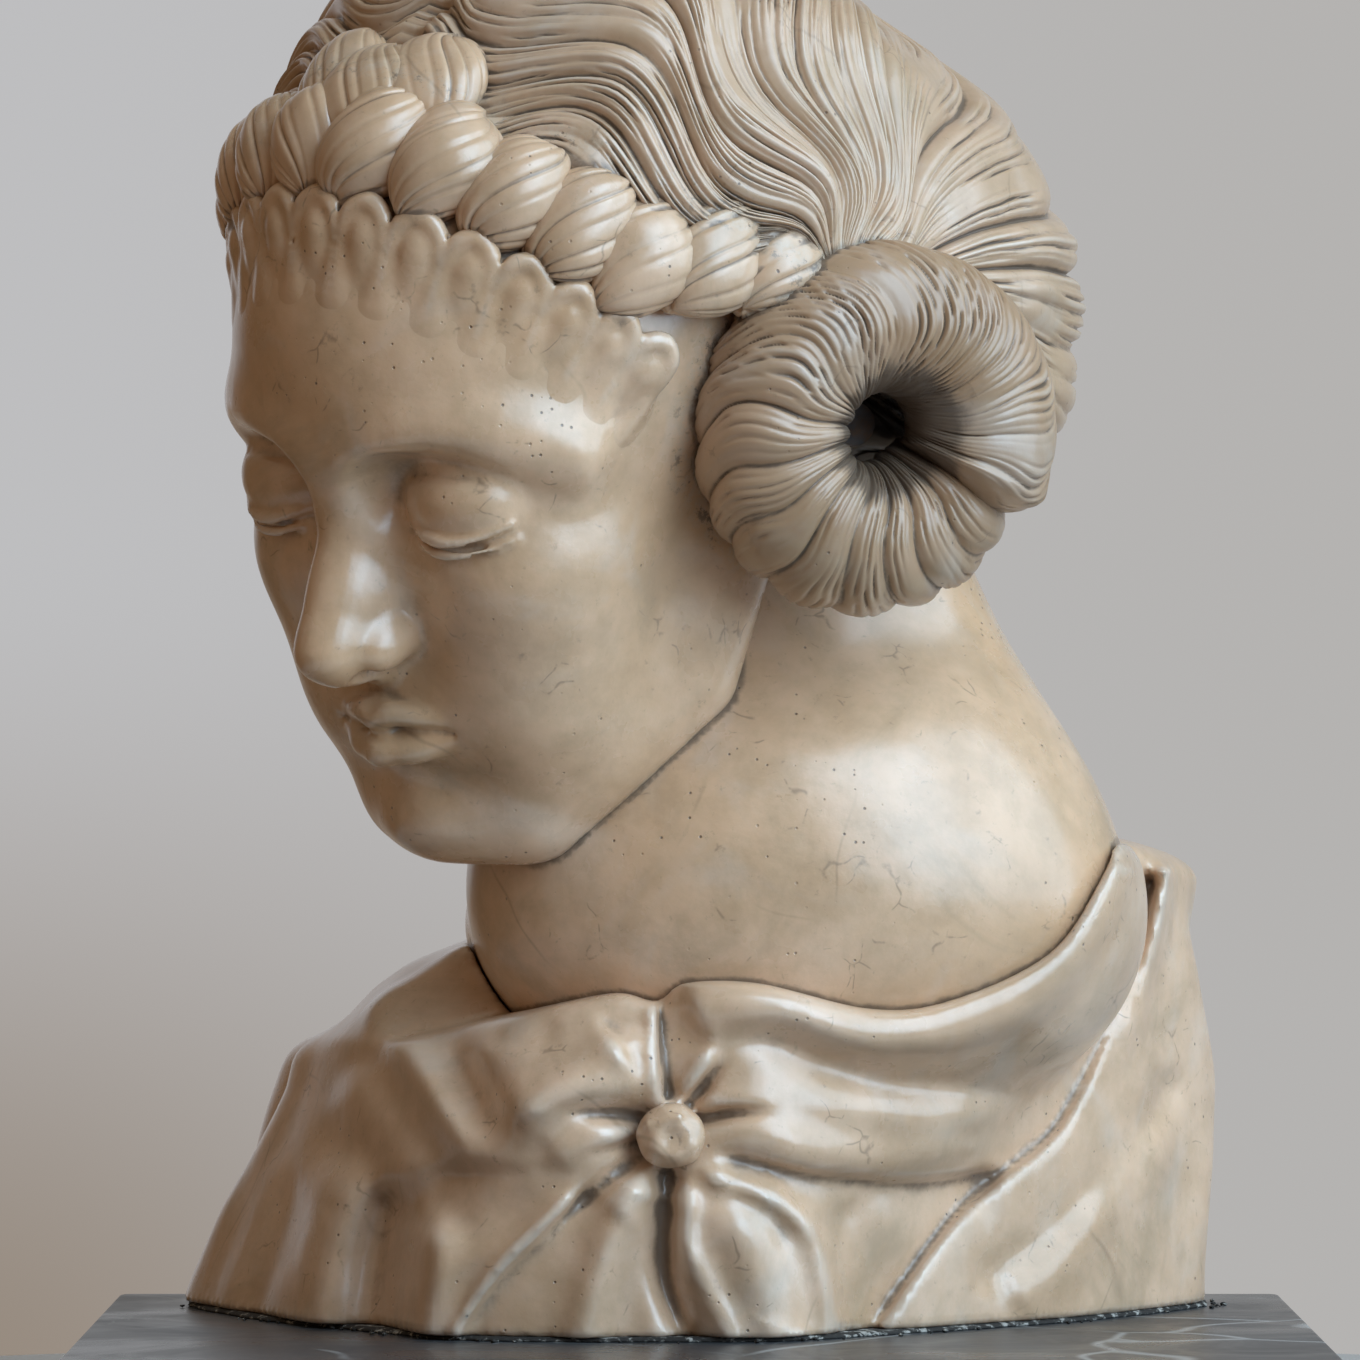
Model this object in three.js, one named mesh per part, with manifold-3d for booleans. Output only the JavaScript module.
// A life-size marble bust of a woman looking over her left shoulder, on a dark marble plinth.
// Millimetres, +Z up. The origin is the centre of the plinth's underside, on the plane of its felt pads.
// -Y is the side that the near (left) shoulder faces, and the face looks to -X and -Y.
import * as THREE from "three";
import { mergeVertices } from "three/addons/utils/BufferGeometryUtils.js";
import Module from "manifold-3d";

const wasm = await Module();
wasm.setup();

// ---- driving dimensions -------------------------------------------------------------------------
const GAP = 0.4; // joint between two carved pieces
const PAD = { radius: 14, thick: 2, insetX: 26, insetY: 26 };
const SLAB = { width: 340, depth: 268, thick: 38, cornerRadius: 4 };
const SLAB_TOP = PAD.thick + SLAB.thick;
const MASTIC_THICK = 1.2;
const MASTIC_INSET = 1.5;
const FOOT_Z = SLAB_TOP + MASTIC_THICK;

// The carving stands a little behind the middle of the plinth.
const CARVING_Y = 5;

const ROD = { radius: 6, x: 10, y: 40, top: 150, bottom: 9 };
const ROD_HOLE_RADIUS = 7;
const COUNTERBORE = { radius: 20, depth: 20 };
const NUT = { acrossCorners: 21.9, thick: 9.6 };
const WASHER = { outer: 15, inner: 6.6, thick: 1.4 };

// The head's own frame: x forward, y to its left, z up, origin midway between the ears.
const HEAD_ORIGIN = new THREE.Vector3(-35, -14, 282.5);
const HEAD_YAW_DEG = -134;
const HEAD_PITCH_DEG = 21;
const HEAD_ROLL_DEG = -7;

// The hairline is a plane in the head's frame. The plait lies behind it.
const UPWARD = new THREE.Vector3(0, 0, 1);
const HAIRLINE_NORMAL = new THREE.Vector3(0.76, 0, -0.65).normalize();
const HAIRLINE_OFFSET = -22;
const ROW_LIFT = 4;
const PLAIT_OFFSET = -23;
const PLAIT_HALF_ANGLE_DEG = 80;
const PLAIT_LOBES = 13;
const PLAIT_LOBE_RADII = [16, 15, 16];
const CURL_OFFSET = 2;
const CURL_HALF_ANGLE_DEG = 68;
const CURL_COUNT = 15;
const CURL_RADII = [12, 11, 11];

const COIL_CENTRE = [-21, 90, 9];
const COIL_AXIS = [0.411, 0.898, 0.139];
const COIL_RING_RADIUS = 29;
const COIL_ROLL_RADIUS = 20.5;
// The pin runs along the coil's axis, from deep in the head to just short of the coil's middle.
const COIL_PIN = { radius: 6, from: -52, to: -6 };
const NECK_DOWEL = { radius: 6, x: -25, bottom: -92, top: 4 };

// How far the cloth stands out from the shoulder that it wraps.
const CLOTH_THICK = 8;
const CLASP = { x: -8, y: -69.5, z: 96, radius: 9, stem: 5, stemDepth: 14 };

// ---- shapes as solids ---------------------------------------------------------------------------
function solidOf(geometry) {
  const bare = geometry.index ? geometry.toNonIndexed() : geometry.clone();
  bare.deleteAttribute("normal");
  bare.deleteAttribute("uv");
  const merged = mergeVertices(bare, 1e-3);
  return new wasm.Manifold(
    new wasm.Mesh({
      numProp: 3,
      vertProperties: merged.attributes.position.array,
      triVerts: new Uint32Array(merged.index.array),
    }),
  );
}

function geometryOf(solid) {
  const mesh = solid.getMesh();
  const geometry = new THREE.BufferGeometry();
  geometry.setAttribute("position", new THREE.BufferAttribute(mesh.vertProperties, 3));
  geometry.setIndex(new THREE.BufferAttribute(mesh.triVerts, 1));
  geometry.computeVertexNormals();
  return geometry;
}

// The largest of the bodies that a cut leaves. The others are slivers.
function mainBody(solid) {
  return solid.decompose().reduce((a, b) => (b.volume() > a.volume() ? b : a));
}

function join(...solids) {
  return solids.reduce((a, b) => a.add(b));
}

function ellipsoid(centre, radii, grow = 0, segments = 14) {
  const geometry = new THREE.SphereGeometry(1, segments, Math.round(segments * 0.66));
  geometry.rotateX(Math.PI / 2);
  geometry.scale(...radii.map((r) => r + grow));
  geometry.translate(...centre);
  return solidOf(geometry);
}

// A round bar from one point to another.
function bar(from, to, radiusFrom, radiusTo = radiusFrom, sides = 16) {
  const a = new THREE.Vector3(...from);
  const b = new THREE.Vector3(...to);
  const geometry = new THREE.CylinderGeometry(radiusTo, radiusFrom, a.distanceTo(b), sides);
  const up = new THREE.Vector3(0, 1, 0);
  const turn = new THREE.Quaternion().setFromUnitVectors(up, b.clone().sub(a).normalize());
  geometry.applyQuaternion(turn);
  geometry.translate(...a.add(b).multiplyScalar(0.5).toArray());
  return solidOf(geometry);
}

function moved(solid, matrix) {
  return solidOf(geometryOf(solid).applyMatrix4(matrix));
}

// ---- materials ----------------------------------------------------------------------------------
function finish(color, roughness, metalness) {
  return new THREE.MeshStandardMaterial({ color, roughness, metalness });
}

const stone = (colour, roughness) => finish(colour, roughness, 0);
const metal = (colour, roughness) => finish(colour, roughness, 1);
const IVORY = stone(0xcbbfa9, 0.32);
const IVORY_HAIR = stone(0xb5a58e, 0.5);
const DARK_MARBLE = stone(0x55595b, 0.25);
const MASTIC = stone(0x3a3733, 0.9);
const STEEL = metal(0x8d9195, 0.4);
const IRON = metal(0x3b3634, 0.6);
const FELT = stone(0x3f4a3c, 0.95);

// ---- head ---------------------------------------------------------------------------------------
const headGroup = new THREE.Group();
headGroup.position.copy(HEAD_ORIGIN);
headGroup.rotation.set(
  THREE.MathUtils.degToRad(HEAD_ROLL_DEG),
  THREE.MathUtils.degToRad(HEAD_PITCH_DEG),
  THREE.MathUtils.degToRad(HEAD_YAW_DEG),
  "ZYX",
);
headGroup.updateMatrix();

// [centre, radii] of the rounded masses of the head: skull, face, jaw, chin, brow, nose and lips.
const SKULL = [[-2, 0, 42], [97, 75, 92]];
const HEAD_MASSES = [
  SKULL,
  [[40, 0, -6], [53, 60, 70]],
  [[26, 0, -46], [52, 52, 44]],
  [[66, 0, -78], [21, 26, 20]],
  [[76, 0, 34], [22, 48, 15]],
  [[94, 0, 2], [13, 9, 30]],
  [[106, 0, -14], [11, 13, 10]],
  [[88, 0, -42], [9, 21, 9]],
];

function headShape(grow = 0) {
  return join(...HEAD_MASSES.map(([centre, radii]) => ellipsoid(centre, radii, grow)));
}

// Everything in front of the hairline, as a large block.
function beyondHairline() {
  const side = 400;
  const geometry = new THREE.BoxGeometry(side, side, side);
  geometry.translate(0, 0, side / 2);
  geometry.applyQuaternion(new THREE.Quaternion().setFromUnitVectors(UPWARD, HAIRLINE_NORMAL));
  geometry.translate(...HAIRLINE_NORMAL.clone().multiplyScalar(HAIRLINE_OFFSET).toArray());
  return solidOf(geometry);
}

// A point on an ellipsoid just outside the skull, in a plane parallel to the hairline.
function rowPoint(offset, angle) {
  const [centre, radii] = SKULL.map((v) => new THREE.Vector3(...v));
  const reach = radii.addScalar(ROW_LIFT);
  const middle = centre.clone().addScaledVector(HAIRLINE_NORMAL, offset - HAIRLINE_NORMAL.dot(centre));
  const upward = new THREE.Vector3(-HAIRLINE_NORMAL.z, 0, HAIRLINE_NORMAL.x);
  const along = upward.multiplyScalar(Math.cos(angle)).add(new THREE.Vector3(0, Math.sin(angle), 0));
  const p = middle.clone().sub(centre).divide(reach);
  const w = along.clone().divide(reach);
  const half = p.dot(w);
  const distance = (-half + Math.sqrt(half * half - w.lengthSq() * (p.lengthSq() - 1))) / w.lengthSq();
  return middle.addScaledVector(along, distance).toArray();
}

// A row of rounded lobes over the top of the head, from one ear to the other.
function rowShape(offset, halfAngleDeg, count, radii, grow) {
  const halfAngle = THREE.MathUtils.degToRad(halfAngleDeg);
  const lobes = [];
  for (let i = 0; i < count; i++) {
    const angle = halfAngle * ((2 * i) / (count - 1) - 1);
    lobes.push(ellipsoid(rowPoint(offset, angle), radii, grow, 8));
  }
  return join(...lobes);
}

function plaitShape(grow = 0) {
  return rowShape(PLAIT_OFFSET, PLAIT_HALF_ANGLE_DEG, PLAIT_LOBES, PLAIT_LOBE_RADII, grow);
}

function curlsShape(grow = 0) {
  return rowShape(CURL_OFFSET, CURL_HALF_ANGLE_DEG, CURL_COUNT, CURL_RADII, grow);
}

function hairShape(grow = 0) {
  const cap = ellipsoid([-25, 0, 50], [99, 95, 102], grow, 20);
  const chignon = ellipsoid([-81, 0, 14], [80, 94, 88], grow, 20);
  return cap.add(chignon);
}

// A point on a coil's axis. The side is +1 for the left coil and -1 for the right one.
function coilPoint(side, along) {
  const [x, y, z] = COIL_CENTRE.map((c, i) => c + COIL_AXIS[i] * along);
  return [x, side * y, z];
}

function coilShape(side, grow = 0) {
  const geometry = new THREE.TorusGeometry(COIL_RING_RADIUS, COIL_ROLL_RADIUS + grow, 12, 22);
  const axis = new THREE.Vector3(COIL_AXIS[0], side * COIL_AXIS[1], COIL_AXIS[2]).normalize();
  geometry.applyQuaternion(new THREE.Quaternion().setFromUnitVectors(UPWARD, axis));
  geometry.translate(...coilPoint(side, 0));
  return solidOf(geometry);
}

function coilPinShape(side, grow = 0) {
  const { radius, from, to } = COIL_PIN;
  return bar(coilPoint(side, from - grow), coilPoint(side, to + grow), radius + grow);
}

function neckDowelShape(grow = 0) {
  const { x, bottom, top, radius } = NECK_DOWEL;
  return bar([x, 0, bottom - grow], [x, 0, top + grow], radius + grow);
}

const SIDES = [["left", 1], ["right", -1]];
const pinHoles = join(...SIDES.map(([, side]) => coilPinShape(side, GAP)));
const coilClearance = join(...SIDES.map(([, side]) => coilShape(side, GAP)));

function headSolid() {
  return mainBody(headShape().subtract(neckDowelShape(GAP)).subtract(pinHoles));
}

function plaitSolid() {
  return mainBody(plaitShape().subtract(headShape(GAP)).subtract(coilClearance).subtract(pinHoles));
}

function curlsSolid() {
  return mainBody(curlsShape().subtract(headShape(GAP)).subtract(plaitShape(GAP)).subtract(coilClearance));
}

function hairSolid() {
  const behind = hairShape().subtract(beyondHairline());
  const rows = join(headShape(GAP), plaitShape(GAP), curlsShape(GAP));
  return mainBody(behind.subtract(rows).subtract(coilClearance).subtract(pinHoles));
}

function coilSolid(side) {
  return mainBody(coilShape(side).subtract(headShape(GAP)).subtract(coilPinShape(side, GAP)));
}

// ---- body ---------------------------------------------------------------------------------------
const BODY_CENTRE = { x: 0, y: 30 };
// The foot's outline, seen from above, starting at its right-hand end and going round by the back.
const FOOT_OUTLINE = [
  [144, 75], [138, 105], [95, 113], [0, 114], [-95, 113], [-138, 105], [-145, 73], [-125, 22],
  [-104, -8], [-82, -38], [-62, -60], [-20, -64], [20, -60], [48, -34], [85, 2], [115, 28],
];
// How the sides draw in with height: [height over the foot, share of the left half, right half, depth].
const BODY_LEVELS = [
  [0, 1, 1, 1], [28, 0.93, 0.998, 1.03], [62, 0.83, 0.995, 1.04], [77, 0.8, 0.99, 1.01],
  [92, 0.68, 0.985, 0.94], [101, 0.58, 0.98, 0.9], [124, 0.5, 0.97, 0.84],
];

function levelAt(height) {
  const last = BODY_LEVELS.length - 1;
  let i = BODY_LEVELS.findIndex(([z]) => z >= height);
  if (i < 1) i = height > 0 ? last : 1;
  const [low, high] = [BODY_LEVELS[i - 1], BODY_LEVELS[i]];
  const t = (height - low[0]) / (high[0] - low[0]);
  return low.map((value, k) => value + (high[k] - value) * t);
}

// A closed loft: a cylinder whose rings follow the foot's outline and draw in as they rise.
function bodyLoft(height, inset = 0, rings = 6) {
  const sides = 36;
  const outline = new THREE.CatmullRomCurve3(
    FOOT_OUTLINE.map(([x, y]) => new THREE.Vector3(x, y, 0)),
    true,
    "centripetal",
  );
  const around = outline.getSpacedPoints(sides);
  const geometry = new THREE.CylinderGeometry(1, 1, height, sides, rings);
  geometry.rotateX(Math.PI / 2);
  geometry.translate(0, 0, height / 2);
  const position = geometry.attributes.position;
  for (let i = 0; i < position.count; i++) {
    const reach = Math.hypot(position.getX(i), position.getY(i));
    const turn = Math.atan2(position.getY(i), position.getX(i)) / (2 * Math.PI);
    const step = Math.round((turn < 0 ? turn + 1 : turn) * sides) % sides;
    const [, left, right, depth] = levelAt(position.getZ(i));
    const point = around[step];
    const x = (point.x - Math.sign(point.x) * inset) * (point.x < 0 ? left : right);
    const y = BODY_CENTRE.y + (point.y - BODY_CENTRE.y) * depth;
    position.setXY(i, BODY_CENTRE.x + x * reach, BODY_CENTRE.y + (y - BODY_CENTRE.y) * reach);
  }
  return solidOf(geometry);
}

const TENON = { x: 12, y: 34, bottom: FOOT_Z + 26, radius: 46 };

// The bare near shoulder, the back of the neck, the far side of the chest and the tenon below them.
function shoulderShape(grow = 0) {
  return join(
    ellipsoid([24, 0, 163], [89, 61, 68], grow, 20),
    ellipsoid([22, 44, 150], [88, 52, 46], grow, 20),
    bar([80, 15, 150], [44, 28, 246], 36 + grow, 30 + grow, 20),
    bar([24, 30, 130], [2, 28, 262], 64 + grow, 52 + grow, 20),
    bar([TENON.x, TENON.y, TENON.bottom - grow], [TENON.x, TENON.y, 150], TENON.radius + grow, 54 + grow),
  );
}

// Everything above a garment edge: a shape in X and Z, run along Y from one side to the other.
function aboveEdge(edge, fromY, toY) {
  const outline = new THREE.Shape(edge.map(([x, z]) => new THREE.Vector2(x, z)));
  const depth = toY - fromY;
  const geometry = new THREE.ExtrudeGeometry(outline, { depth, bevelEnabled: false });
  geometry.rotateX(Math.PI / 2);
  geometry.translate(0, toY, 0);
  return solidOf(geometry);
}

const EDGE_TOP = 260;
const NEAR_EDGE = [
  [-170, 116], [-92, 119], [-78, 119], [-50, 126], [-14, 131], [17, 132], [57, 125], [86, 129],
  [104, 146], [116, 172], [134, 166], [170, 160], [170, EDGE_TOP], [-170, EDGE_TOP],
];
const FAR_EDGE = [
  [-170, 110], [-112, 118], [-72, 141], [-20, 160], [60, 172], [116, 174], [136, 164],
  [170, 158], [170, EDGE_TOP], [-170, EDGE_TOP],
];

function draperyShape() {
  const farShoulder = ellipsoid([18, 62, 118], [98, 50, 54], 0, 20);
  const wrapped = ellipsoid([24, 0, 163], [89, 61, 68], CLOTH_THICK, 20);
  const body = bodyLoft(124).add(backFold()).translate([0, 0, FOOT_Z]);
  const whole = body.add(farShoulder).add(wrapped);
  return whole.subtract(aboveEdge(NEAR_EDGE, -120, 12)).subtract(aboveEdge(FAR_EDGE, 12, 150));
}

// The upright fold of cloth down her back.
function backFold() {
  const geometry = new THREE.CylinderGeometry(32, 38, 130, 24, 1);
  geometry.rotateX(Math.PI / 2);
  geometry.translate(104, 64, 65);
  return solidOf(geometry);
}

function clasp(grow = 0) {
  const { radius, stem, stemDepth } = CLASP;
  const arc = new THREE.Path().absarc(0, 0, radius + grow, 0, Math.PI / 2, false).getPoints(6);
  const profile = [
    new THREE.Vector2(0, -stemDepth - grow),
    new THREE.Vector2(stem + grow, -stemDepth - grow),
    new THREE.Vector2(stem + grow, -2),
    new THREE.Vector2(radius + grow, -2),
    ...arc.map((p) => new THREE.Vector2(p.x, p.y * 0.62)),
  ];
  profile[profile.length - 1].x = 0;
  const geometry = new THREE.LatheGeometry(profile, 16);
  geometry.rotateX(Math.PI / 2);
  geometry.translate(CLASP.x, CLASP.y, CLASP.z);
  return solidOf(geometry);
}

function rodShape(radius, bottom, top) {
  return bar([ROD.x, ROD.y, bottom], [ROD.x, ROD.y, top], radius);
}

function shouldersSolid() {
  const above = join(headShape(GAP), hairShape(GAP), coilClearance, neckDowelShape(GAP));
  const cut = shoulderShape().subtract(moved(above, headGroup.matrix));
  return mainBody(cut.subtract(rodShape(ROD_HOLE_RADIUS, ROD.bottom, ROD.top + 1)));
}

function draperySolid() {
  const cut = draperyShape().subtract(shoulderShape(GAP)).subtract(clasp(GAP));
  const head = moved(join(headShape(GAP), hairShape(GAP), coilClearance), headGroup.matrix);
  return mainBody(cut.subtract(head).subtract(rodShape(ROD_HOLE_RADIUS, ROD.bottom, ROD.top)));
}

// ---- plinth and fixings -------------------------------------------------------------------------
function plinthSolid() {
  const { width, depth, thick, cornerRadius } = SLAB;
  const [x, y] = [width / 2, depth / 2];
  const outline = new THREE.Shape();
  outline.moveTo(-x + cornerRadius, -y);
  outline.absarc(x - cornerRadius, -y + cornerRadius, cornerRadius, -Math.PI / 2, 0, false);
  outline.absarc(x - cornerRadius, y - cornerRadius, cornerRadius, 0, Math.PI / 2, false);
  outline.absarc(-x + cornerRadius, y - cornerRadius, cornerRadius, Math.PI / 2, Math.PI, false);
  outline.absarc(-x + cornerRadius, -y + cornerRadius, cornerRadius, Math.PI, 1.5 * Math.PI, false);
  const settings = { depth: thick, bevelEnabled: false, curveSegments: 4 };
  const geometry = new THREE.ExtrudeGeometry(outline, settings);
  geometry.translate(0, 0, PAD.thick);
  const counterboreTop = PAD.thick + COUNTERBORE.depth;
  const counterbore = bar([ROD.x, ROD.y, 0], [ROD.x, ROD.y, counterboreTop], COUNTERBORE.radius);
  const holes = rodShape(ROD_HOLE_RADIUS, 0, SLAB_TOP + 5).add(counterbore);
  return solidOf(geometry).subtract(holes.translate([0, CARVING_Y, 0]));
}

function masticSolid() {
  const bed = bodyLoft(MASTIC_THICK, MASTIC_INSET, 1).translate([0, 0, SLAB_TOP]);
  return bed.subtract(rodShape(ROD_HOLE_RADIUS, 30, 50));
}

function washerSolid() {
  const top = PAD.thick + COUNTERBORE.depth;
  const disc = bar([ROD.x, ROD.y, top - WASHER.thick], [ROD.x, ROD.y, top], WASHER.outer);
  return disc.subtract(rodShape(WASHER.inner, 0, 60));
}

function nutSolid() {
  const top = PAD.thick + COUNTERBORE.depth - WASHER.thick;
  const radius = NUT.acrossCorners / 2;
  const hexagon = bar([ROD.x, ROD.y, top - NUT.thick], [ROD.x, ROD.y, top], radius, radius, 6);
  return hexagon.subtract(rodShape(WASHER.inner, 0, 60));
}

// ---- the assembly -------------------------------------------------------------------------------
const bust = new THREE.Group();
const carving = new THREE.Group();
carving.position.y = CARVING_Y;
carving.add(headGroup);
bust.add(carving);

function place(parent, name, solid, material) {
  const mesh = new THREE.Mesh(geometryOf(solid), material);
  mesh.name = name;
  parent.add(mesh);
}

place(bust, "plinth_slab", plinthSolid(), DARK_MARBLE);
place(carving, "mastic_bed", masticSolid(), MASTIC);
place(carving, "drapery", draperySolid(), IVORY);
place(carving, "shoulders", shouldersSolid(), IVORY);
place(carving, "clasp_button", clasp(), IVORY);
place(headGroup, "head", headSolid(), IVORY);
place(headGroup, "hair", hairSolid(), IVORY_HAIR);
place(headGroup, "plait_band", plaitSolid(), IVORY);
place(headGroup, "hairline_curls", curlsSolid(), IVORY);
place(headGroup, "neck_dowel", neckDowelShape(), STEEL);
for (const [name, side] of SIDES) {
  place(headGroup, "coil_" + name, coilSolid(side), IVORY_HAIR);
  place(headGroup, "coil_pin_" + name, coilPinShape(side), IRON);
}
place(carving, "threaded_rod", rodShape(ROD.radius, ROD.bottom, ROD.top), STEEL);
place(carving, "rod_washer", washerSolid(), STEEL);
place(carving, "rod_nut", nutSolid(), STEEL);
for (const [i, [sx, sy]] of [[-1, -1], [1, -1], [1, 1], [-1, 1]].entries()) {
  const [x, y] = [sx * (SLAB.width / 2 - PAD.insetX), sy * (SLAB.depth / 2 - PAD.insetY)];
  place(bust, "felt_pad_" + (i + 1), bar([x, y, 0], [x, y, PAD.thick], PAD.radius), FELT);
}

export default bust;
